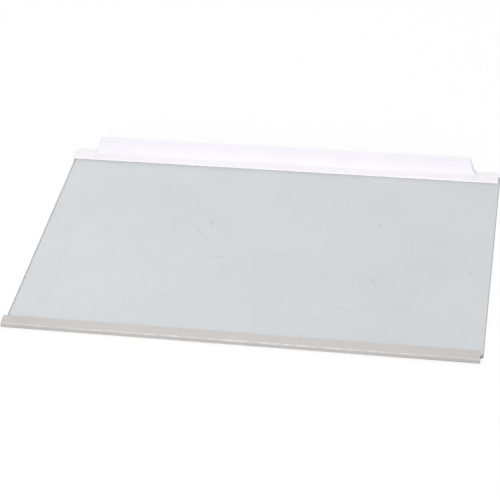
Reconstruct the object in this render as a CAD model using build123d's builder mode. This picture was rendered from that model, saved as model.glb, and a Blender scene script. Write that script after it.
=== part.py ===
# Fridge shelf: a toughened glass pane with a push-on strip along its front edge and one along its rear.
# Sizes are in millimetres. X runs along the shelf, Y towards the back of the fridge and Z up.
# The origin is under the middle of the shelf's outline, on the plane that both strips rest on.
import os

from build123d import *

os.makedirs("parts", exist_ok=True)

# Glass pane
pane_width = 475.0
pane_depth = 293.0
pane_thickness = 4.0
pane_corner_radius = 3.0
pane_edge_chamfer = 0.5

# Fit of the strips on the pane, with a lower jaw of one thickness so that the pane lies level
jaw_wall = 1.0
grip_clearance = 0.1
edge_clearance = 0.3

# Front strip, an extruded profile that has slid a little to the left along the pane
front_overhang_left = 3.1
front_setback_right = 2.8
front_grip = 6.5
front_lip = 1.2
front_web = 1.2
front_chamber = 3.6
front_face_wall = 1.3
front_lip_drop = 0.3
front_top_radius = 1.2
front_bottom_radius = 1.7
front_lip_radius = 0.9
front_jaw_radius = 0.4

# Rear strip, a moulding that has slid a little to the left, with its lower jaw set back from its lip
rear_overhang_left = 2.7
rear_setback_right = 2.0
rear_grip = 13.0
rear_jaw_setback = 3.0
rear_lip = 1.2
rear_web = 1.6
rear_recess = 4.1
rear_lip_radius = 0.8
rear_jaw_radius = 0.4
rear_corner_radius = 7.0

# Raised flange of the rear strip, leaning back until it is flush with the back of the strip
flange_inset = 26.0
flange_rise = 18.4
flange_wall = 1.8
flange_lean = 4.7
flange_slant = 5.7
flange_top_radius = 0.7
flange_foot_radius = 4.0
flange_end_radius = 5.0
flange_corner_radius = 1.5
gusset_wall = 1.8

# Heights, with both strips resting on Z 0
pane_bottom = jaw_wall
slot_top = pane_bottom + pane_thickness + grip_clearance
front_top = slot_top + front_lip
ledge_top = slot_top + rear_lip
flange_top = ledge_top + flange_rise

# Places along X, with the whole outline centred
outline_width = pane_width + max(front_overhang_left, rear_overhang_left)
pane_right = outline_width / 2
pane_left = pane_right - pane_width
front_left = pane_left - front_overhang_left
front_length = pane_right - front_setback_right - front_left
rear_left = pane_left - rear_overhang_left
rear_length = pane_right - rear_setback_right - rear_left
flange_length = rear_length - 2 * flange_inset
flange_middle = rear_left + rear_length / 2

# Places along Y, with the whole outline centred
front_nose = front_web + front_chamber + front_face_wall
rear_back = rear_web + rear_recess
outline_depth = front_nose + edge_clearance + pane_depth + edge_clearance + rear_back
front_face_y = -outline_depth / 2
front_web_y = front_face_y + front_nose
pane_front = front_web_y + edge_clearance
pane_rear = pane_front + pane_depth
front_lip_y = pane_front + front_grip
rear_lip_y = pane_rear - rear_grip
rear_jaw_y = rear_lip_y + rear_jaw_setback
rear_web_y = pane_rear + edge_clearance
rear_face_y = rear_web_y + rear_back
flange_top_y = rear_face_y - flange_wall
flange_foot_y = flange_top_y - flange_lean

# Glass pane with rounded corners and ground edges
with BuildPart() as glass_pane:
    with BuildSketch(Plane.XY.offset(pane_bottom)):
        with Locations(((pane_left + pane_right) / 2, (pane_front + pane_rear) / 2)):
            RectangleRounded(pane_width, pane_depth, pane_corner_radius)
    extrude(amount=pane_thickness)
    pane_faces = glass_pane.faces().filter_by(Axis.Z)
    chamfer(pane_faces.edges(), length=pane_edge_chamfer)

# Front strip: a slot for the pane at the back and a closed hollow nose at the front
with BuildPart() as front_trim:
    with BuildSketch(Plane.YZ.offset(front_left)) as front_section:
        with BuildLine():
            Polyline(
                (front_lip_y, 0),
                (front_face_y, 0),
                (front_face_y, front_top - front_lip_drop),
                (front_lip_y, front_top),
                (front_lip_y, slot_top),
                (front_web_y, slot_top),
                (front_web_y, jaw_wall),
                (front_lip_y, jaw_wall),
                close=True,
            )
        make_face()
        fillet(front_section.vertices().group_by(Axis.X)[0].sort_by(Axis.Y)[0], radius=front_bottom_radius)
        fillet(front_section.vertices().group_by(Axis.X)[0].sort_by(Axis.Y)[-1], radius=front_top_radius)
        fillet(front_section.vertices().group_by(Axis.X)[-1].sort_by(Axis.Y)[-1], radius=front_lip_radius)
        fillet(front_section.vertices().group_by(Axis.X)[-1].sort_by(Axis.Y)[0:2], radius=front_jaw_radius)
        chamber_middle = (front_face_y + front_face_wall + front_chamber / 2, (jaw_wall + slot_top) / 2)
        with Locations(chamber_middle):
            Rectangle(front_chamber, slot_top - jaw_wall, mode=Mode.SUBTRACT)
    extrude(amount=front_length)

# Space behind the flange of the rear strip, open at the back and closed by a gusset at each end
with BuildPart() as flange_hollow:
    with BuildSketch(Plane.XZ.offset(-rear_face_y)):
        with BuildLine():
            hollow_half = flange_length / 2 - gusset_wall
            Polyline(
                (flange_middle - hollow_half, ledge_top),
                (flange_middle + hollow_half, ledge_top),
                (flange_middle + hollow_half - flange_slant, flange_top),
                (flange_middle - hollow_half + flange_slant, flange_top),
                close=True,
            )
        make_face()
    extrude(amount=flange_wall + flange_lean)
    with BuildSketch(Plane.YZ.offset(rear_left)):
        with BuildLine():
            Polyline(
                (flange_foot_y + flange_wall, ledge_top),
                (rear_face_y, ledge_top),
                (rear_face_y, flange_top),
                close=True,
            )
        make_face()
    extrude(amount=rear_length, mode=Mode.INTERSECT)

# Flange of the rear strip: an upright plate with slanted ends and a rounded foot
with BuildPart() as flange:
    with BuildSketch(Plane.XZ.offset(-rear_face_y)) as flange_outline:
        with BuildLine():
            foot_half = flange_length / 2
            foot_end = foot_half + flange_end_radius
            Polyline(
                (flange_middle - foot_end, slot_top),
                (flange_middle + foot_end, slot_top),
                (flange_middle + foot_end, ledge_top),
                (flange_middle + foot_half, ledge_top),
                (flange_middle + foot_half - flange_slant, flange_top),
                (flange_middle - foot_half + flange_slant, flange_top),
                (flange_middle - foot_half, ledge_top),
                (flange_middle - foot_end, ledge_top),
                close=True,
            )
        make_face()
        fillet(flange_outline.vertices().group_by(Axis.Y)[-1], radius=flange_corner_radius)
        foot_corners = flange_outline.vertices().group_by(Axis.Y)[1].sort_by(Axis.X)
        fillet(foot_corners[1:3], radius=flange_end_radius)
    foot_front_y = flange_foot_y - flange_foot_radius
    extrude(amount=rear_face_y - foot_front_y)
    with BuildSketch(Plane.YZ.offset(rear_left)) as flange_section:
        with BuildLine():
            Polyline(
                (foot_front_y, slot_top),
                (rear_face_y, slot_top),
                (rear_face_y, flange_top),
                (flange_top_y, flange_top),
                (flange_foot_y, ledge_top),
                (foot_front_y, ledge_top),
                close=True,
            )
        make_face()
        fillet(flange_section.vertices().group_by(Axis.Y)[-1], radius=flange_top_radius)
        fillet(flange_section.vertices().group_by(Axis.Y)[1].sort_by(Axis.X)[-1], radius=flange_foot_radius)
    extrude(amount=rear_length, mode=Mode.INTERSECT)
    add(flange_hollow.part, mode=Mode.SUBTRACT)

# Rear strip: a slot for the pane at the front, an open recess behind the web and the flange on top
with BuildPart() as rear_trim:
    with BuildSketch(Plane.YZ.offset(rear_left)) as rear_section:
        with BuildLine():
            Polyline(
                (rear_jaw_y, 0),
                (rear_face_y, 0),
                (rear_face_y, jaw_wall),
                (rear_web_y + rear_web, jaw_wall),
                (rear_web_y + rear_web, slot_top),
                (rear_face_y, slot_top),
                (rear_face_y, ledge_top),
                (rear_lip_y, ledge_top),
                (rear_lip_y, slot_top),
                (rear_web_y, slot_top),
                (rear_web_y, jaw_wall),
                (rear_jaw_y, jaw_wall),
                close=True,
            )
        make_face()
        fillet(rear_section.vertices().group_by(Axis.X)[1], radius=rear_jaw_radius)
        fillet(rear_section.vertices().group_by(Axis.X)[0].sort_by(Axis.Y)[-1], radius=rear_lip_radius)
    extrude(amount=rear_length)
    with BuildSketch(Plane.XY) as rear_plan:
        with Locations((rear_left + rear_length / 2, (rear_lip_y + rear_face_y) / 2)):
            Rectangle(rear_length, rear_face_y - rear_lip_y)
        fillet(rear_plan.vertices().group_by(Axis.X)[0].sort_by(Axis.Y)[-1], radius=rear_corner_radius)
    extrude(amount=ledge_top, mode=Mode.INTERSECT)
    add(flange.part)

glass_pane.part.label = "glass_pane"
front_trim.part.label = "front_trim"
rear_trim.part.label = "rear_trim"

export_step(glass_pane.part, "parts/glass_pane.step")
export_step(front_trim.part, "parts/front_trim.step")
export_step(rear_trim.part, "parts/rear_trim.step")
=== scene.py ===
from math import atan2, pi, radians, tan
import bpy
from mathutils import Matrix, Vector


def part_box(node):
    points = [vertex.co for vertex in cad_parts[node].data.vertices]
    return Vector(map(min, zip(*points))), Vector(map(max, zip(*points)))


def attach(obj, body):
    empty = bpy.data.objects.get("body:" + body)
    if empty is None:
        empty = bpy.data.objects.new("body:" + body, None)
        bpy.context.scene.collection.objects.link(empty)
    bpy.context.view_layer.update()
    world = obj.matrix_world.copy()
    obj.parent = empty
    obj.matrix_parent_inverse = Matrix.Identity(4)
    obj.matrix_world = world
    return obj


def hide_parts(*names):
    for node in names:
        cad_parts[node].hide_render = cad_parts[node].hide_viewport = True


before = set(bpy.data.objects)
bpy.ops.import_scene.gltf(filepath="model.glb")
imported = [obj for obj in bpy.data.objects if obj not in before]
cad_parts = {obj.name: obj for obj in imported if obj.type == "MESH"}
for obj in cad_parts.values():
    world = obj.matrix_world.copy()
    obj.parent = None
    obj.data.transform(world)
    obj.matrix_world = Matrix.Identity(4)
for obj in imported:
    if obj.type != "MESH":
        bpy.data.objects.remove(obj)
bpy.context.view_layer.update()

from types import SimpleNamespace

import bmesh
import bpy
from mathutils import Matrix, Vector

mm = 0.001  # lengths in the dictionaries of the pieces are in millimetres
print("frame loaded:", ", ".join(sorted(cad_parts)))


# helpers for the meshes

meshValues = {
    "slack": 0.01,  # places this close count as one
    "merge": 0.001,  # points this close are joined
    "flatAngle": 0.5,  # degrees between faces that still count as one plane
    "sharpAngle": 38.0,  # edges sharper than this get broken
    "breakSteps": 2,
    "facing": 0.9,  # a face points one way when its normal does by this share
    "level": 0.999,  # and lies level by this one
    "flatWeight": 100,  # how far large flat faces rule the shading
}


def nodeBox(name):  # a solid's lowest and highest corner in millimetres
    low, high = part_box(name)
    return low / mm, high / mm


def near(a, b):
    return abs(a - b) < meshValues["slack"]


def newMesh():  # its faces carry two values: which roundings get lighter patches, nicks on the glass rim and painted highlight on the strips, and which get painted shade
    bm = bmesh.new()
    for faceMark in ("rubbedAndSheen", "shadowed"):
        bm.faces.layers.float.new(faceMark)
    return bm


def vertsOf(made):
    return [g for g in made["geom"] if isinstance(g, bmesh.types.BMVert)]


def allOf(bm):
    return bm.verts[:] + bm.edges[:] + bm.faces[:]


def linesAt(bm, **at):  # the edges that lie at the given places, such as y=10, z=5
    def lies(p):
        return all(near(getattr(p.co, axis), place) for axis, place in at.items())

    return [e for e in bm.edges if all(lies(p) for p in e.verts)]


def borders(e, way):  # just one of the edge's two faces points that way
    return sorted(f.normal.dot(way) > meshValues["facing"] for f in e.link_faces) == [False, True]


def turnOut(bm):
    bmesh.ops.recalc_face_normals(bm, faces=bm.faces[:])


def joinDoubles(bm):
    bmesh.ops.remove_doubles(bm, verts=bm.verts[:], dist=meshValues["merge"])


def mergeFlat(bm):  # joins neighbouring faces that lie in one plane
    bmesh.ops.dissolve_limit(bm, angle_limit=radians(meshValues["flatAngle"]), verts=bm.verts[:],
                             edges=bm.edges[:])


def roundOff(bm, edges, rounding, rubbedAndSheen=1.0, shadowed=0.0):  # a rounding is its reach and its steps
    reach, steps = rounding
    made = bmesh.ops.bevel(bm, geom=edges, offset=reach, offset_type="OFFSET", segments=steps, profile=0.5,
                           affect="EDGES", material=-1)
    faceMark = bm.faces.layers.float
    for f in made["faces"]:
        f[faceMark["rubbedAndSheen"]] = rubbedAndSheen
        f[faceMark["shadowed"]] = shadowed


def softenRest(bm, width):  # breaks every edge that is still sharp
    turnOut(bm)
    sharp = [e for e in bm.edges if e.calc_face_angle() > radians(meshValues["sharpAngle"])]
    roundOff(bm, sharp, (width, meshValues["breakSteps"]))
    joinDoubles(bm)


def sheet(bm, columns, rows, place):  # a flat sheet of cells with its lines at the given places
    wide, tall = len(columns) - 1, len(rows) - 1
    bmesh.ops.create_grid(bm, x_segments=wide, y_segments=tall, size=1)
    for p in bm.verts:
        p.co = place(columns[round((p.co.x + 1) / 2 * wide)], rows[round((p.co.y + 1) / 2 * tall)])


def finishPiece(bm, name, node, materials):
    turnOut(bm)
    bmesh.ops.scale(bm, vec=(mm, mm, mm), verts=bm.verts[:])
    for f in bm.faces:
        f.smooth = True
    mesh = bpy.data.meshes.new(name)
    bm.to_mesh(mesh)
    bm.free()
    for material in materials:
        mesh.materials.append(material)
    piece = bpy.data.objects.new(name, mesh)
    bpy.context.scene.collection.objects.link(piece)
    shading = piece.modifiers.new("flatFacesFirst", "WEIGHTED_NORMAL")
    shading.weight = meshValues["flatWeight"]
    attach(piece, "root")
    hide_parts(node)
    print(name, "built with", len(mesh.polygons), "faces")


# helpers for the materials

def put(tree, kind, inputs=None, **settings):  # adds a node, sets it and links what comes from other nodes
    node = tree.nodes.new(kind)
    for name, value in settings.items():
        setattr(node, name, value)
    for name, value in (inputs or {}).items():
        if isinstance(value, bpy.types.NodeSocket):
            tree.links.new(value, node.inputs[name])
        else:
            node.inputs[name].default_value = value
    return node


def newMaterial(name):
    material = bpy.data.materials.new(name)
    material.use_nodes = True
    material.node_tree.nodes.clear()
    return material, material.node_tree


def objectSpot(tree):
    return put(tree, "ShaderNodeTexCoord").outputs["Object"]


def stretched(tree, spot, scale):
    return put(tree, "ShaderNodeMapping", {"Vector": spot, "Scale": scale}).outputs[0]


def faceValue(tree, name):  # what the mesh says of a face, such as rubbed or soiled
    return put(tree, "ShaderNodeAttribute", attribute_name=name).outputs["Fac"]


def maths(tree, operation, *values):
    return put(tree, "ShaderNodeMath", dict(enumerate(values)), operation=operation).outputs[0]


def vectors(tree, operation, first, second, output="Vector"):
    return put(tree, "ShaderNodeVectorMath", {0: first, 1: second}, operation=operation).outputs[output]


def times(tree, first, *others):
    for other in others:
        first = maths(tree, "MULTIPLY", first, other)
    return first


def awayFrom(tree, value, place):
    return maths(tree, "ABSOLUTE", maths(tree, "SUBTRACT", value, place))


def noise(tree, vector, scale, detail):  # the scale, like every size of a finish, is in waves to a metre
    return put(tree, "ShaderNodeTexNoise", {"Vector": vector, "Scale": scale, "Detail": detail}).outputs[0]


def fade(tree, value, start, end):  # 0 at the start value, 1 at the end value
    return put(tree, "ShaderNodeMapRange", {"Value": value, "From Min": start, "From Max": end},
               interpolation_type="SMOOTHSTEP").outputs[0]


def dress(tree, look, masks):  # lays the coats over the bare surface, each where its own mask says
    colour, roughness, height = look["colour"], look["roughness"], 0.0
    for name, coat in look["coats"].items():
        mask = masks[name]
        if "colour" in coat:
            share = times(tree, mask, coat["share"])
            mix = put(tree, "ShaderNodeMix", {0: share, 6: colour, 7: coat["colour"]}, data_type="RGBA")
            colour = mix.outputs[2]  # sockets 6, 7 and 2 are the colour ones
        if "roughness" in coat:
            roughness = maths(tree, "MULTIPLY_ADD", mask, coat["roughness"], roughness)
        if "height" in coat:
            height = maths(tree, "MULTIPLY_ADD", mask, coat["height"], height)
    bump = put(tree, "ShaderNodeBump", {
        "Strength": look["bumpStrength"], "Distance": look["bumpHeight"] * mm, "Height": height})
    return {"Base Color": colour, "Roughness": roughness, "Normal": bump.outputs[0]}


# finishes that several materials share

finishValues = {
    "hairStretch": (0.02, 1, 1),  # draws the rub marks out into long hairs
    "hairMiddle": 0.5,  # they lie where the noise passes this value
    "hairWidth": 0.04,
    "hairDetail": 2.0,
    "hairPatches": 22.0,  # patches to a metre
    "patchEdge": 0.10,
    "filmStart": 0.42,
    "filmEnd": 0.66,
    "filmStreaks": 8.0,  # finer streaks inside the film
    "filmDetail": 3.0,
    "streakShare": 0.8,
    "streakFloor": 0.5,
    "speckEdge": 0.04,
    "speckDetail": 1.0,
    "levelFace": 0.8,  # dust lies on faces that point up more than this
    "grainDetail": 4.0,
    "toneShare": 0.015,  # broad tone against the size of the grain
    "toneDetail": 3.0,
    "edgePatchStart": 0.40,
    "edgePatchEnd": 0.62,
    "edgePatchDetail": 4.0,
}


def newGroup(name, inputs, outputs):
    tree = bpy.data.node_groups.new(name, "ShaderNodeTree")
    for socket in inputs:
        kind = "NodeSocketVector" if socket in ("Vector", "Start", "End") else "NodeSocketFloat"
        tree.interface.new_socket(socket, in_out="INPUT", socket_type=kind)
    for socket in outputs:
        tree.interface.new_socket(socket, in_out="OUTPUT", socket_type="NodeSocketFloat")
    return tree, put(tree, "NodeGroupInput").outputs


def use(tree, group, vector, **values):  # places a shared finish in a material
    return put(tree, "ShaderNodeGroup", {"Vector": vector, **values},
               node_tree=bpy.data.node_groups[group]).outputs


def makeRubMarks():  # fine hair lines in patches, all lying one way
    v = finishValues
    tree, given = newGroup("rubMarks", ["Vector", "Turn", "Fineness", "Level"], ["Mask"])
    turned = put(tree, "ShaderNodeVectorRotate", {"Vector": given["Vector"], "Angle": given["Turn"]},
                 rotation_type="Z_AXIS").outputs[0]
    drawn = vectors(tree, "MULTIPLY", turned, v["hairStretch"])
    hairs = noise(tree, drawn, given["Fineness"], v["hairDetail"])
    lines = fade(tree, awayFrom(tree, hairs, v["hairMiddle"]), v["hairWidth"], 0.0)
    patches = noise(tree, given["Vector"], v["hairPatches"], v["hairDetail"])
    full = maths(tree, "ADD", given["Level"], v["patchEdge"])
    rubbedAndSheen = fade(tree, patches, given["Level"], full)
    put(tree, "NodeGroupOutput", {"Mask": times(tree, lines, rubbedAndSheen)})


def makeScuffLine():  # one straight mark between two points
    tree, given = newGroup("scuffLine", ["Vector", "Start", "End", "Width"], ["Mask"])
    along = vectors(tree, "SUBTRACT", given["End"], given["Start"])
    here = vectors(tree, "SUBTRACT", given["Vector"], given["Start"])
    reach = vectors(tree, "DOT_PRODUCT", here, along, "Value")
    whole = vectors(tree, "DOT_PRODUCT", along, along, "Value")
    share = put(tree, "ShaderNodeMath", {0: reach, 1: whole}, operation="DIVIDE", use_clamp=True).outputs[0]
    foot = put(tree, "ShaderNodeVectorMath", {0: along, "Scale": share}, operation="SCALE").outputs[0]
    away = vectors(tree, "DISTANCE", here, foot, "Value")
    put(tree, "NodeGroupOutput", {"Mask": fade(tree, away, given["Width"], 0.0)})


def makeHandFilm():  # the uneven film that wiping and handling leave
    v = finishValues
    tree, given = newGroup("handFilm", ["Vector", "Size"], ["Mask"])
    broad = noise(tree, given["Vector"], given["Size"], v["filmDetail"])
    patches = fade(tree, broad, v["filmStart"], v["filmEnd"])
    fine = noise(tree, given["Vector"], times(tree, given["Size"], v["filmStreaks"]), v["filmDetail"])
    streaks = maths(tree, "MULTIPLY_ADD", fine, v["streakShare"], v["streakFloor"])
    put(tree, "NodeGroupOutput", {"Mask": times(tree, patches, streaks)})


def makeSettledDust():  # sparse specks on faces that point up
    v = finishValues
    tree, given = newGroup("settledDust", ["Vector", "Size", "Level"], ["Mask"])
    cloud = noise(tree, given["Vector"], given["Size"], v["speckDetail"])
    full = maths(tree, "ADD", given["Level"], v["speckEdge"])
    specks = fade(tree, cloud, given["Level"], full)
    normal = put(tree, "ShaderNodeNewGeometry").outputs["Normal"]
    upward = put(tree, "ShaderNodeSeparateXYZ", {0: normal}).outputs["Z"]
    level = maths(tree, "GREATER_THAN", upward, v["levelFace"])
    put(tree, "NodeGroupOutput", {"Mask": times(tree, specks, level)})


def makeMouldGrain():  # the fine skin of a moulded or ground face, and its broad changes of tone
    v = finishValues
    tree, given = newGroup("mouldGrain", ["Vector", "Size"], ["Height", "Tone"])
    fine = noise(tree, given["Vector"], given["Size"], v["grainDetail"])
    broad = noise(tree, given["Vector"], times(tree, given["Size"], v["toneShare"]), v["toneDetail"])
    put(tree, "NodeGroupOutput", {"Height": fine, "Tone": broad})


def makeEdgeWearAndSheen():  # lighter stretches along the marked roundings: nicks on the glass rim, painted highlight on the strips
    v = finishValues
    tree, given = newGroup("edgeWearAndSheen", ["Vector", "Size"], ["Mask"])
    patches = noise(tree, given["Vector"], given["Size"], v["edgePatchDetail"])
    patched = fade(tree, patches, v["edgePatchStart"], v["edgePatchEnd"])
    put(tree, "NodeGroupOutput", {"Mask": times(tree, faceValue(tree, "rubbedAndSheen"), patched)})


makeRubMarks()
makeScuffLine()
makeHandFilm()
makeSettledDust()
makeMouldGrain()
makeEdgeWearAndSheen()
print("shared finishes ready:", ", ".join(sorted(group.name for group in bpy.data.node_groups)))


def commonWear(tree, spot, v):  # the film, rub marks and dust that every piece has in its own measure
    rubs = use(tree, "rubMarks", spot, Turn=v["rubTurn"], Fineness=v["rubFineness"], Level=v["rubLevel"])
    dust = use(tree, "settledDust", spot, Size=v["dustSize"], Level=v["dustLevel"])
    film = use(tree, "handFilm", spot, Size=v["filmSize"])
    return {"rubs": rubs["Mask"], "dust": dust["Mask"], "film": film["Mask"]}


# glass pane

paneValues = {
    "cornerRounding": (3.0, 10),
    "chamfer": (0.5, 1),
    "chamferAngles": (38.0, 52.0),  # edges with an angle between these are the chamfer's own
    "softEdge": 0.08,
    "groundMargin": 0.35,  # the grinding runs this far onto both faces
    "seatGap": 0.02,  # air between the pane and the lower jaws
    "ior": 1.52,
    "lampTint": (0.93, 0.94, 0.945, 1),  # what each face lets through to the floor
    "filmSize": 9.0,
    "rubTurn": 0.6,
    "rubFineness": 420.0,
    "rubLevel": 0.52,
    "dustSize": 850.0,
    "dustLevel": 0.73,
    "scuffs": [  # marks on the upper face: start, end, width and strength
        ((-76, 27), (-58, 2), 1.9, 0.20),
        ((-61, 37), (-59, 33), 2.8, 0.42),
        ((-59, -26), (-38, -24), 4.2, 0.18),
        ((-87, -90), (-84, -93), 2.8, 0.25),
        ((10, -90), (20, -91), 1.3, 0.20),
        ((103, -35), (117, -39), 2.3, 0.20),
        ((117, -39), (126, -54), 2.2, 0.26),
        ((90, -91), (105, -95), 1.5, 0.33),
        ((217, -20), (219, -24), 2.3, 0.19),
        ((118, 47), (121, 44), 2.4, 0.30),
    ],
    "gapSize": 240.0,  # thin and thick stretches of a mark
    "gapDetail": 1.0,
    "gapStart": 0.36,
    "gapEnd": 0.56,
    "gapFloor": 0.35,  # what is left of a mark in its thin stretches
    "grindSize": 2600.0,
    "grindStretch": (0.15, 0.15, 1),  # grinding lines run along the rim
    "nickSize": 60.0,
    "clearLook": {
        "colour": (0.67, 0.70, 0.72, 1),
        "roughness": 0.02,
        "clearness": 1.0,  # share of the light that goes through
        "bumpStrength": 0.2,
        "bumpHeight": 0.05,
        "coats": {
            "film": {"share": 0.6, "colour": (0.64, 0.665, 0.68, 1), "roughness": 0.04},
            "rubs": {"share": 0.07, "colour": (0.24, 0.25, 0.26, 1), "roughness": 0.05, "height": -0.3},
            "scuffs": {"share": 1.0, "colour": (0.24, 0.25, 0.26, 1), "roughness": 0.1, "height": -1.0},
            "dust": {"share": 0.3, "colour": (0.80, 0.81, 0.81, 1), "roughness": 0.3},
        },
    },
    "groundLook": {
        "colour": (0.512, 0.522, 0.535, 1),
        "roughness": 0.42,
        "clearness": 0.5,
        "bumpStrength": 0.6,
        "bumpHeight": 0.05,
        "coats": {
            "tone": {"share": 1.0, "colour": (0.432, 0.442, 0.455, 1)},
            "grind": {"roughness": 0.2, "height": 1.0},
            "nicks": {"share": 0.5, "colour": (0.62, 0.63, 0.64, 1), "roughness": 0.1},
        },
    },
}


def glassSurface(tree, look, masks):  # lamps and light from the floor pass straight through it
    glass = put(tree, "ShaderNodeBsdfPrincipled", {
        **dress(tree, look, masks), "IOR": paneValues["ior"], "Transmission Weight": look["clearness"]})
    clear = put(tree, "ShaderNodeBsdfTransparent", {"Color": paneValues["lampTint"]})
    path = put(tree, "ShaderNodeLightPath").outputs
    normal = put(tree, "ShaderNodeNewGeometry").outputs["Normal"]
    facing = put(tree, "ShaderNodeSeparateXYZ", {0: normal}).outputs
    rising = maths(tree, "LESS_THAN", facing["Z"], 0.0)
    fromFloor = times(tree, path["Is Diffuse Ray"], rising)
    straight = maths(tree, "MAXIMUM", path["Is Shadow Ray"], fromFloor)
    mix = put(tree, "ShaderNodeMixShader", {0: straight, 1: glass.outputs[0], 2: clear.outputs[0]})
    put(tree, "ShaderNodeOutputMaterial", {"Surface": mix.outputs[0]})


def scuffMask(tree, spot, topZ):  # all the scuffs, broken into thin and thick stretches
    v = paneValues
    scuffs = 0.0
    for start, end, width, strength in v["scuffs"]:
        line = use(tree, "scuffLine", spot, Start=Vector((*start, topZ)) * mm,
                   End=Vector((*end, topZ)) * mm, Width=width * mm)["Mask"]
        scuffs = maths(tree, "MAXIMUM", times(tree, line, strength), scuffs)
    gaps = noise(tree, spot, v["gapSize"], v["gapDetail"])
    thick = fade(tree, gaps, v["gapStart"], v["gapEnd"])
    return times(tree, scuffs, maths(tree, "MULTIPLY_ADD", thick, 1 - v["gapFloor"], v["gapFloor"]))


def clearGlass(topZ):
    v = paneValues
    material, tree = newMaterial("clearGlass")
    spot = objectSpot(tree)
    masks = commonWear(tree, spot, v)
    masks["scuffs"] = scuffMask(tree, spot, topZ)
    glassSurface(tree, v["clearLook"], masks)
    return material


def groundGlassEdge():
    v = paneValues
    material, tree = newMaterial("groundGlassEdge")
    spot = objectSpot(tree)
    grind = use(tree, "mouldGrain", stretched(tree, spot, v["grindStretch"]), Size=v["grindSize"])
    nicks = use(tree, "edgeWearAndSheen", spot, Size=v["nickSize"])["Mask"]
    glassSurface(tree, v["groundLook"], {"tone": grind["Tone"], "grind": grind["Height"], "nicks": nicks})
    return material


def buildPane():
    v = paneValues
    low, high = nodeBox("glass_pane")
    low.z += v["seatGap"]
    bm = newMesh()
    bmesh.ops.create_cube(bm, size=1)
    bmesh.ops.transform(bm, matrix=Matrix.LocRotScale((low + high) / 2, None, high - low), verts=bm.verts[:])
    uprights = [e for e in bm.edges if not near(e.verts[0].co.z, e.verts[1].co.z)]
    roundOff(bm, uprights, v["cornerRounding"], rubbedAndSheen=0.0)
    rims = [e for e in bm.edges if any(abs(f.normal.z) > meshValues["facing"] for f in e.link_faces)]
    roundOff(bm, rims, v["chamfer"])
    least, most = (radians(angle) for angle in v["chamferAngles"])
    breaks = [e for e in bm.edges if least < e.calc_face_angle() < most]
    roundOff(bm, breaks, (v["softEdge"], meshValues["breakSteps"]))
    bm.normal_update()
    flats = [f for f in bm.faces if abs(f.normal.z) > meshValues["level"]]
    bmesh.ops.inset_region(bm, faces=flats, thickness=v["groundMargin"], use_even_offset=True)
    for f in bm.faces:
        f.material_index = 0 if f in flats else 1
    finishPiece(bm, "glassPane", "glass_pane", [clearGlass(high.z), groundGlassEdge()])


buildPane()


# front strip

frontValues = {
    "jaw": 1.0,
    "slotTop": 5.1,
    "top": 6.3,
    "topDrop": 0.3,  # the top falls this far from its back edge to its front edge
    "faceWall": 1.3,
    "chamber": 3.6,
    "web": 1.2,
    "topRounding": (1.2, 6),
    "bottomRounding": (1.7, 5),
    "lipRounding": (0.9, 5),
    "jawRounding": (0.4, 3),
    "softEdge": 0.12,
    "lipShadeReach": 2.4,  # painted shade reaches this far along the lip's back edge, where it meets the glass
    "endShadeReach": 110.0,  # and over this length towards both ends
    "lowShadowReach": 190.0,  # a painted shadow in the lower rounding starts this far from each end
    "shadeFloor": 0.3,
    "shadeByTone": 1.2,  # the painted shade is deeper where the tone is deep
    "highlightReach": 260.0,  # the painted highlight reaches this far from the strip's middle
    "highlightFloor": 0.2,  # share of the painted highlight that is left beyond it
    "lineSize": 1500.0,
    "lineStretch": (0.006, 1, 1),  # drawing lines run along the strip
    "grainSize": 2600.0,
    "filmSize": 14.0,
    "rubTurn": 0.0,
    "rubFineness": 650.0,
    "rubLevel": 0.55,
    "highlightSize": 130.0,
    "dustSize": 900.0,
    "dustLevel": 0.74,
    "shine": 0.6,
    "colour": (0.596, 0.571, 0.551, 1),
    "roughness": 0.22,
    "bumpStrength": 0.45,
    "bumpHeight": 0.03,
    "coats": {
        "lines": {"share": 1.0, "colour": (0.566, 0.541, 0.521, 1), "roughness": 0.08, "height": 0.7},
        "grain": {"roughness": 0.06, "height": 0.3},
        "film": {"roughness": 0.05},
        # painted shade by the lip and towards the ends
        "paintedShade": {"share": 0.35, "colour": (0.47, 0.455, 0.44, 1), "roughness": 0.15},
        # painted shadow low on the face near the ends
        "paintedLowShadow": {"share": 0.6, "colour": (0.34, 0.33, 0.32, 1)},
        "rubs": {"share": 0.3, "colour": (0.76, 0.74, 0.72, 1), "height": -0.3},
        # painted highlight on the roundings
        "paintedHighlight": {"share": 0.8, "colour": (0.76, 0.74, 0.72, 1), "roughness": -0.04},
        "dust": {"share": 0.4, "colour": (0.74, 0.73, 0.71, 1), "roughness": 0.2},
    },
}


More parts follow.
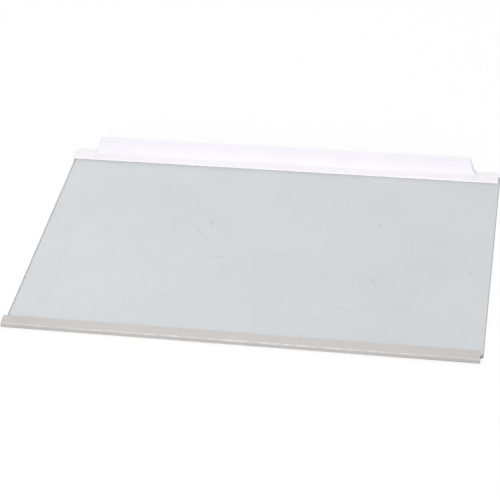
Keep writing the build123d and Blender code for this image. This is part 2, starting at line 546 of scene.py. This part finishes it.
def warmGreyStrip(lipY, middleX, halfLength):
    v = frontValues
    material, tree = newMaterial("warmGreyStrip")
    spot = objectSpot(tree)
    masks = commonWear(tree, spot, v)
    grain = use(tree, "mouldGrain", spot, Size=v["grainSize"])
    masks["grain"] = grain["Height"]
    drawn = stretched(tree, spot, v["lineStretch"])
    masks["lines"] = use(tree, "mouldGrain", drawn, Size=v["lineSize"])["Height"]

    # painted shade along the lip and towards both ends, and a painted shadow in the lower rounding near the
    # ends
    at = put(tree, "ShaderNodeSeparateXYZ", {0: spot}).outputs
    fromMiddle = awayFrom(tree, at["X"], middleX * mm)
    byLip = fade(tree, at["Y"], (lipY - v["lipShadeReach"]) * mm, lipY * mm)
    byEnds = fade(tree, fromMiddle, (halfLength - v["endShadeReach"]) * mm, halfLength * mm)
    farOut = fade(tree, fromMiddle, (halfLength - v["lowShadowReach"]) * mm, halfLength * mm)
    thickness = maths(tree, "MULTIPLY_ADD", grain["Tone"], v["shadeByTone"], v["shadeFloor"])
    masks["paintedShade"] = times(tree, maths(tree, "MAXIMUM", byLip, byEnds), thickness)
    masks["paintedLowShadow"] = times(tree, faceValue(tree, "shadowed"), farOut)

    # painted highlight on the roundings, brightest around the middle
    inReach = fade(tree, fromMiddle, v["highlightReach"] * mm, 0.0)
    highlightShare = maths(tree, "MULTIPLY_ADD", inReach, 1 - v["highlightFloor"], v["highlightFloor"])
    masks["paintedHighlight"] = times(tree, use(tree, "edgeWearAndSheen", spot, Size=v["highlightSize"])["Mask"], highlightShare)

    plastic = put(tree, "ShaderNodeBsdfPrincipled", {
        **dress(tree, v, masks), "Specular IOR Level": v["shine"]})
    put(tree, "ShaderNodeOutputMaterial", {"Surface": plastic.outputs[0]})
    return material


def buildFrontStrip():
    v = frontValues
    low, high = nodeBox("front_trim")
    chamberFront = low.y + v["faceWall"]
    chamberBack = chamberFront + v["chamber"]
    slotEnd = chamberBack + v["web"]
    columns = [low.y, chamberFront, chamberBack, slotEnd, high.y]
    rows = [low.z, v["jaw"], v["slotTop"], v["top"]]

    def place(y, z):
        drop = v["topDrop"] * (high.y - y) / (high.y - low.y) if z == v["top"] else 0
        return Vector((low.x, y, z - drop))

    # the profile without its chamber and slot, drawn out along the shelf
    bm = newMesh()
    sheet(bm, columns, rows, place)
    slotMiddle = (v["jaw"] + v["slotTop"]) / 2
    hollow = [f for f in bm.faces for c in [f.calc_center_median()]
              if near(c.z, slotMiddle) and (chamberFront < c.y < chamberBack or c.y > slotEnd)]
    bmesh.ops.delete(bm, geom=hollow, context="FACES")
    made = bmesh.ops.extrude_face_region(bm, geom=bm.faces[:])
    bmesh.ops.translate(bm, vec=(high.x - low.x, 0, 0), verts=vertsOf(made))
    turnOut(bm)
    mergeFlat(bm)

    roundOff(bm, linesAt(bm, y=low.y, z=v["top"] - v["topDrop"]), v["topRounding"])
    # the lower rounding carries the painted shadow near the ends
    roundOff(bm, linesAt(bm, y=low.y, z=low.z), v["bottomRounding"], shadowed=1.0)
    roundOff(bm, linesAt(bm, y=high.y, z=v["top"]), v["lipRounding"])
    roundOff(bm, linesAt(bm, y=high.y, z=low.z) + linesAt(bm, y=high.y, z=v["jaw"]), v["jawRounding"])
    softenRest(bm, v["softEdge"])
    material = warmGreyStrip(high.y, (low.x + high.x) / 2, (high.x - low.x) / 2)
    finishPiece(bm, "frontStrip", "front_trim", [material])


buildFrontStrip()


# rear strip

rearValues = {
    "jaw": 1.0,
    "slotTop": 5.1,
    "lip": 1.2,
    "grip": 13.3,  # from the lip to the web
    "web": 1.6,
    "jawSetback": 3.0,  # the lower jaw stops short of the lip
    "flangeInset": 26.0,
    "flangeWall": 1.8,
    "flangeLean": 4.7,
    "flangeSlant": 5.7,
    "gussetWall": 1.8,
    "cornerRounding": (7.0, 12),
    "lipRounding": (0.8, 5),
    "jawRounding": (0.4, 3),
    "footRounding": (3.2, 8),
    "topRounding": (0.7, 4),  # along the flange's top at the back
    "topCornerRadius": 1.5,
    "topCornerSteps": 6,
    "rimRounding": (0.9, 4),  # around the flange's front
    "softEdge": 0.12,
    "footShadeReach": 6.0,  # painted shade reaches this far from the flange's foot
    "footShadeFront": 18.0,  # and this far in front of it
    "rimShade": 0.9,
    "rimShadeEnds": 1.0,  # added at the flange's ends
    "endShadeFrom": 8.0,  # the rim's painted shade deepens from this far inside the foot's ends
    "shadeFloor": 0.6,
    "shadeByFilm": 0.5,  # the painted shade is deeper under the film
    "grainSize": 2200.0,
    "filmSize": 11.0,
    "rubTurn": 0.0,
    "rubFineness": 520.0,
    "rubLevel": 0.58,
    "highlightSize": 80.0,
    "dustSize": 900.0,
    "dustLevel": 0.76,
    "colour": (0.930, 0.910, 0.953, 1),
    "roughness": 0.42,
    "bumpStrength": 0.6,
    "bumpHeight": 0.03,
    "coats": {
        "tone": {"share": 1.0, "colour": (0.890, 0.870, 0.917, 1)},
        "grain": {"roughness": 0.12, "height": 1.0},
        "film": {"roughness": 0.05},
        # painted shade at the flange's foot, on its rim and at its ends
        "paintedShade": {"share": 0.55, "colour": (0.80, 0.785, 0.80, 1)},
        "rubs": {"share": 0.4, "colour": (0.80, 0.785, 0.80, 1), "height": -0.4},
        # painted highlight on the lip and the other marked roundings
        "paintedHighlight": {"share": 0.9, "colour": (0.97, 0.96, 0.98, 1), "roughness": -0.08},
        "dust": {"share": 0.5, "colour": (0.78, 0.77, 0.77, 1), "roughness": 0.2},
    },
}


def rearPlaces(low, high):  # where the walls of the rear strip stand
    v = rearValues
    at = SimpleNamespace()
    at.ledge = v["slotTop"] + v["lip"]
    at.jawFront = low.y + v["jawSetback"]
    at.webFront = low.y + v["grip"]
    at.webBack = at.webFront + v["web"]
    at.topFront = high.y - v["flangeWall"]
    at.footFront = at.topFront - v["flangeLean"]
    at.footBack = at.footFront + v["flangeWall"]
    at.footLeft = low.x + v["flangeInset"]
    at.footRight = high.x - v["flangeInset"]
    at.hollowLeft = at.footLeft + v["gussetWall"]
    at.hollowRight = at.footRight - v["gussetWall"]
    at.middle = (low.x + high.x) / 2
    return at


def whiteMoulding(place):
    v = rearValues
    material, tree = newMaterial("whiteMoulding")
    spot = objectSpot(tree)
    masks = commonWear(tree, spot, v)
    grain = use(tree, "mouldGrain", spot, Size=v["grainSize"])
    masks["grain"] = grain["Height"]
    masks["tone"] = grain["Tone"]
    # painted highlight on the lip and the other marked roundings
    masks["paintedHighlight"] = use(tree, "edgeWearAndSheen", spot, Size=v["highlightSize"])["Mask"]

    # painted shade around the flange's foot and on its rim, deeper at the flange's ends
    halfFoot = (place.footRight - place.footLeft) / 2
    at = put(tree, "ShaderNodeSeparateXYZ", {0: spot}).outputs
    fromMiddle = awayFrom(tree, at["X"], place.middle * mm)
    inDepth = fade(tree, at["Y"], (place.footFront - v["footShadeFront"]) * mm, place.footFront * mm)
    inHeight = fade(tree, at["Z"], (place.ledge + v["footShadeReach"]) * mm, place.ledge * mm)
    inLength = fade(tree, fromMiddle, (halfFoot + v["footShadeReach"]) * mm, halfFoot * mm)
    byFoot = times(tree, inDepth, inHeight, inLength)
    byEnds = fade(tree, fromMiddle, (halfFoot - v["endShadeFrom"]) * mm, (halfFoot - v["flangeSlant"]) * mm)
    rimShadeShare = maths(tree, "MULTIPLY_ADD", byEnds, v["rimShadeEnds"], v["rimShade"])
    onRim = times(tree, faceValue(tree, "shadowed"), rimShadeShare)
    thickness = maths(tree, "MULTIPLY_ADD", masks["film"], v["shadeByFilm"], v["shadeFloor"])
    masks["paintedShade"] = times(tree, maths(tree, "MAXIMUM", byFoot, onRim), thickness)

    plastic = put(tree, "ShaderNodeBsdfPrincipled", dress(tree, v, masks))
    put(tree, "ShaderNodeOutputMaterial", {"Surface": plastic.outputs[0]})
    return material


def layPlates(bm, low, high, at):  # two plates from the strip's plan, joined by the web
    v = rearValues
    sheet(bm, [low.x, high.x], [low.y, high.y], lambda x, y: Vector((x, y, 0)))
    leftRear = [p for p in bm.verts if near(p.co.x, low.x) and near(p.co.y, high.y)]
    reach, steps = v["cornerRounding"]
    bmesh.ops.bevel(bm, geom=leftRear, offset=reach, offset_type="OFFSET", segments=steps, profile=0.5,
                    affect="VERTICES", material=-1)
    for y in (at.webFront, at.webBack):
        bmesh.ops.bisect_plane(bm, geom=allOf(bm), plane_co=(0, y, 0), plane_no=(0, 1, 0))
    made = bmesh.ops.extrude_face_region(bm, geom=bm.faces[:])
    bmesh.ops.translate(bm, vec=(0, 0, v["jaw"]), verts=vertsOf(made))
    twin = vertsOf(bmesh.ops.duplicate(bm, geom=allOf(bm)))
    bmesh.ops.translate(bm, vec=(0, 0, v["slotTop"]), verts=twin)
    raised = [p for p in twin if p.co.z > v["slotTop"] + v["jaw"] / 2]
    bmesh.ops.translate(bm, vec=(0, 0, v["lip"] - v["jaw"]), verts=raised)

    facing = [f for f in bm.faces for c in [f.calc_center_median()]
              if at.webFront < c.y < at.webBack and (near(c.z, v["jaw"]) or near(c.z, v["slotTop"]))]
    rims = list({e for f in facing for e in f.edges})
    bmesh.ops.delete(bm, geom=facing, context="FACES_ONLY")
    bmesh.ops.bridge_loops(bm, edges=rims)
    turnOut(bm)
    mergeFlat(bm)
    jawEnds = [p for p in bm.verts if near(p.co.y, low.y) and p.co.z < v["slotTop"] - v["jaw"]]
    bmesh.ops.translate(bm, vec=(0, v["jawSetback"], 0), verts=jawEnds)


def raiseFlange(bm, high, at):  # drawn up from its outline on the ledge, with a gusset at each end
    def onLedge():
        return [f for f in bm.faces if all(near(p.co.z, at.ledge) for p in f.verts)]

    cuts = [((0, y, 0), (0, 1, 0)) for y in (at.footFront, at.footBack)]
    cuts += [((x, 0, 0), (1, 0, 0)) for x in (at.footLeft, at.hollowLeft, at.hollowRight, at.footRight)]
    for spot, way in cuts:
        faces = onLedge()
        parts = list({g for f in faces for g in (*f.verts, *f.edges)}) + faces
        bmesh.ops.bisect_plane(bm, geom=parts, plane_co=spot, plane_no=way)
    foot = [f for f in onLedge() for c in [f.calc_center_median()]
            if at.footLeft < c.x < at.footRight and c.y > at.footFront
            and not (at.hollowLeft < c.x < at.hollowRight and c.y > at.footBack)]
    crest = vertsOf(bmesh.ops.extrude_face_region(bm, geom=foot))
    bmesh.ops.delete(bm, geom=foot, context="FACES")
    slant = rearValues["flangeSlant"]
    for p in crest:
        p.co.z = high.z
        p.co.y = at.topFront if near(p.co.y, at.footFront) else high.y
        p.co.x += slant if p.co.x < at.middle else -slant
    joinDoubles(bm)
    turnOut(bm)
    mergeFlat(bm)


def roundFlange(bm, high, at):
    v = rearValues
    slant, radius = v["flangeSlant"], v["topCornerRadius"]
    endAngle = pi - atan2(high.z - at.ledge, slant)
    corner = (radius / tan(endAngle / 2), v["topCornerSteps"])  # the reach that gives this radius
    ends = linesAt(bm, x=at.footLeft + slant, z=high.z) + linesAt(bm, x=at.footRight - slant, z=high.z)
    # the flange's top corners and rims carry painted shade
    roundOff(bm, ends, corner, rubbedAndSheen=0.0, shadowed=1.0)
    bm.normal_update()
    backRim = [e for e in bm.edges if all(p.co.z > high.z - radius for p in e.verts)
               and borders(e, Vector((0, 1, 0)))]
    roundOff(bm, backRim, v["topRounding"], rubbedAndSheen=0.0, shadowed=1.0)
    bm.normal_update()
    halfway = (at.ledge + high.z) / 2
    frontRim = [e for e in bm.edges if any(p.co.z > halfway for p in e.verts)
                and borders(e, Vector((0, -1, 0)))]
    roundOff(bm, frontRim, v["rimRounding"], rubbedAndSheen=0.0, shadowed=1.0)


def roundFoot(bm, at):  # the line where the flange stands on the ledge
    slack = meshValues["slack"]

    def atFoot(p):
        onPlate = at.footLeft - slack < p.co.x < at.footRight + slack and p.co.y > at.footFront - slack
        inHollow = at.hollowLeft - slack < p.co.x < at.hollowRight + slack and p.co.y > at.footBack - slack
        return near(p.co.z, at.ledge) and onPlate and not inHollow

    bm.normal_update()
    footLines = [e for e in bm.edges if all(atFoot(p) for p in e.verts)
                 and any(f.normal.z > meshValues["level"] for f in e.link_faces)]
    roundOff(bm, footLines, rearValues["footRounding"], rubbedAndSheen=0.0)


def buildRearStrip():
    v = rearValues
    low, high = nodeBox("rear_trim")
    at = rearPlaces(low, high)
    bm = newMesh()
    layPlates(bm, low, high, at)
    raiseFlange(bm, high, at)
    roundFlange(bm, high, at)
    roundFoot(bm, at)
    roundOff(bm, linesAt(bm, y=low.y, z=at.ledge), v["lipRounding"])
    jawLines = linesAt(bm, y=at.jawFront, z=low.z) + linesAt(bm, y=at.jawFront, z=v["jaw"])
    roundOff(bm, jawLines, v["jawRounding"])
    softenRest(bm, v["softEdge"])
    finishPiece(bm, "rearStrip", "rear_trim", [whiteMoulding(at)])


buildRearStrip()


# studio: floor, light and camera, in metres

studioValues = {
    "floorSide": 8.0,
    "floorDrop": 0.0001,  # air under the shelf
    "floorColour": (1, 1, 1, 1),  # as the camera sees it
    "floorGlow": 0.8,  # share of the floor that stays white in the shelf's shadow
    "floorBounce": (0.40, 0.40, 0.40, 1),  # what it throws back on the shelf
    "skyColour": (1, 1, 1, 1),
    "skyStrength": 0.70,
    "skyWhite": 1.0,  # as the camera sees it
    "skyLeft": 1.07,  # what the glass mirrors, brighter to the left
    "skyRight": 0.70,
    "skyFrom": -0.27,  # where the change starts and ends, as the X of a direction
    "skyTo": -0.03,
    "lamps": {
        "keyLamp": {"power": 49.0, "size": 3.2, "place": (-0.15, -2.85, 1.55)},
        "topLamp": {"power": 8.0, "size": 1.0, "place": (-0.36, 0.60, 2.2)},
    },
    "cameraPlace": (0.27489, -1.35165, 1.08519),
    "cameraTurn": (51.7443, 2.8557, 9.7611),  # degrees
    "lens": 120.88,
}


def buildFloor():
    v = studioValues
    bm = bmesh.new()
    bmesh.ops.create_grid(bm, x_segments=1, y_segments=1, size=v["floorSide"] / 2)
    mesh = bpy.data.meshes.new("paleFloor")
    bm.to_mesh(mesh)
    bm.free()
    floor = bpy.data.objects.new("paleFloor", mesh)
    floor.location.z = -v["floorDrop"]
    bpy.context.scene.collection.objects.link(floor)
    material, tree = newMaterial("floorPaper")
    paper = put(tree, "ShaderNodeBsdfDiffuse", {"Color": v["floorColour"]}).outputs[0]
    glow = put(tree, "ShaderNodeEmission", {"Color": v["floorColour"]}).outputs[0]
    shown = put(tree, "ShaderNodeMixShader", {0: v["floorGlow"], 1: paper, 2: glow}).outputs[0]
    dimmed = put(tree, "ShaderNodeBsdfDiffuse", {"Color": v["floorBounce"]}).outputs[0]
    bounced = put(tree, "ShaderNodeLightPath").outputs["Is Diffuse Ray"]
    mix = put(tree, "ShaderNodeMixShader", {0: bounced, 1: shown, 2: dimmed})
    put(tree, "ShaderNodeOutputMaterial", {"Surface": mix.outputs[0]})
    mesh.materials.append(material)


def buildSky():
    v = studioValues
    world = bpy.data.worlds.new("paleStudio")
    bpy.context.scene.world = world
    world.use_nodes = True
    world.node_tree.nodes.clear()
    tree = world.node_tree
    path = put(tree, "ShaderNodeLightPath").outputs
    looking = put(tree, "ShaderNodeTexCoord").outputs["Generated"]
    way = put(tree, "ShaderNodeSeparateXYZ", {0: looking}).outputs
    backdrop = put(tree, "ShaderNodeMapRange", {
        "Value": way["X"], "From Min": v["skyFrom"], "From Max": v["skyTo"],
        "To Min": v["skyLeft"], "To Max": v["skyRight"]}).outputs[0]
    inGlass = maths(tree, "MAXIMUM", path["Is Glossy Ray"], path["Is Transmission Ray"])
    lighting = put(tree, "ShaderNodeMapRange", {
        "Value": inGlass, "To Min": v["skyStrength"], "To Max": backdrop}).outputs[0]
    strength = put(tree, "ShaderNodeMapRange", {
        "Value": path["Is Camera Ray"], "To Min": lighting, "To Max": v["skyWhite"]}).outputs[0]
    sky = put(tree, "ShaderNodeBackground", {"Color": v["skyColour"], "Strength": strength})
    put(tree, "ShaderNodeOutputWorld", {"Surface": sky.outputs[0]})


def hangLamps():  # each lamp points at the shelf's middle
    for name, values in studioValues["lamps"].items():
        lamp = bpy.data.lights.new(name, "AREA")
        lamp.energy = values["power"]
        lamp.size = values["size"]
        stand = bpy.data.objects.new(name, lamp)
        stand.location = values["place"]
        stand.rotation_euler = (-stand.location).to_track_quat("-Z", "Y").to_euler()
        bpy.context.scene.collection.objects.link(stand)


def placeCamera():
    v = studioValues
    lens = bpy.data.cameras.new("photoCamera")
    lens.lens = v["lens"]
    camera = bpy.data.objects.new("photoCamera", lens)
    camera.location = v["cameraPlace"]
    camera.rotation_euler = [radians(angle) for angle in v["cameraTurn"]]
    bpy.context.scene.collection.objects.link(camera)
    bpy.context.scene.camera = camera


buildFloor()
buildSky()
hangLamps()
placeCamera()
bpy.context.scene.view_settings.view_transform = "Standard"
print("studio ready")
